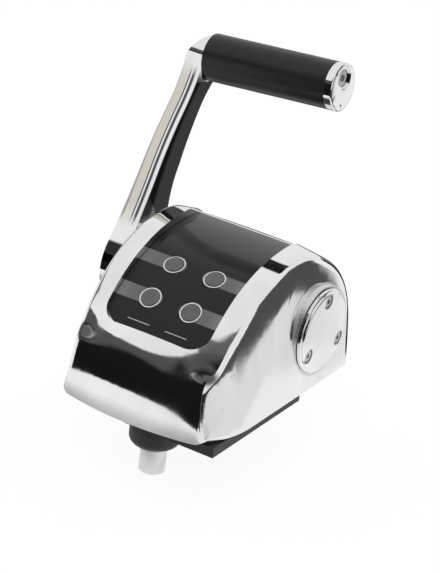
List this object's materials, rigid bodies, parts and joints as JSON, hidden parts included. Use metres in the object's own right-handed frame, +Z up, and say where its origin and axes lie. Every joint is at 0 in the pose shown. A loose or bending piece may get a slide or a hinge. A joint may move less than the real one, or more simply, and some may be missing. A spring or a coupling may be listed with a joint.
{
  "type": "marine throttle control head",
  "caption": "Top-mount single-lever boat throttle and shift control with a chrome housing, black keypad, four round buttons and a T-grip lever.",
  "frame": {"origin": "centre of the housing's flat underside, where it sits on the console", "axes": "+X to starboard along the lever's pivot, +Y forward away from the operator, +Z up out of the console"},
  "size_m": [0.1403, 0.1538, 0.2316],
  "materials": {
    "chrome_cast": "polished",
    "keypad": "gloss",
    "button_grey": "gloss",
    "black_plastic": "matte",
    "grip_black": "semi-gloss",
    "plated_metal": "satin",
    "steel": "satin",
    "cast_alloy": "satin",
    "bronze": "satin",
    "seal_rubber": "matte",
    "board": "matte"
  },
  "bodies": {
    "head": {"housing": "chrome_cast", "keypad_overlay": "keypad", "circuit_board": "board", "board_screws": "steel", "key_switches": "black_plastic", "tray": "black_plastic", "tray_screws": "steel", "cover_gasket": "seal_rubber", "cover_disc": "chrome_cast", "cover_screws": "steel", "bush_port": "bronze", "bush_starboard": "bronze", "shaft_seal": "seal_rubber", "connector_shell": "plated_metal", "connector_nut": "plated_metal", "connector_insert": "black_plastic", "connector_contacts": "bronze", "detent_barrel": "steel", "detent_spring": "steel", "detent_ball": "steel", "brake_shoe": "black_plastic", "brake_screw": "steel", "sensor_board": "board"},
    "lever": {"pivot_shaft": "steel", "shaft_key": "steel", "shaft_clips": "steel", "detent_wheel": "steel", "brake_drum": "steel", "magnet_ring": "black_plastic", "lever_arm": "chrome_cast", "hub_washer": "steel", "hub_screw": "steel", "grip_core": "cast_alloy", "grip_sleeve": "grip_black", "grip_cap": "chrome_cast", "grip_screw": "steel", "grip_dowel": "steel"},
    "key_1": {"button_1": "button_grey"},
    "key_2": {"button_2": "button_grey"},
    "key_3": {"button_3": "button_grey"},
    "key_4": {"button_4": "button_grey"}
  },
  "joints": [
    {"name": "lever_pivot", "type": "hinge", "parent": "head", "child": "lever", "pos_m": [0, 0.0357, 0.03705], "axis": [1, 0, 0], "range_deg": [-65, 65]},
    {"name": "key_1_press", "type": "slide", "parent": "head", "child": "key_1", "axis": [0, 0.3891, -0.9212], "range_m": [0, 0.0008], "stiffness_N_per_m": 1500},
    {"name": "key_2_press", "type": "slide", "parent": "head", "child": "key_2", "axis": [0, 0.3891, -0.9212], "range_m": [0, 0.0008], "stiffness_N_per_m": 1500},
    {"name": "key_3_press", "type": "slide", "parent": "head", "child": "key_3", "axis": [0, 0.6018, -0.7986], "range_m": [0, 0.0008], "stiffness_N_per_m": 1500},
    {"name": "key_4_press", "type": "slide", "parent": "head", "child": "key_4", "axis": [0, 0.6018, -0.7986], "range_m": [0, 0.0008], "stiffness_N_per_m": 1500}
  ]
}
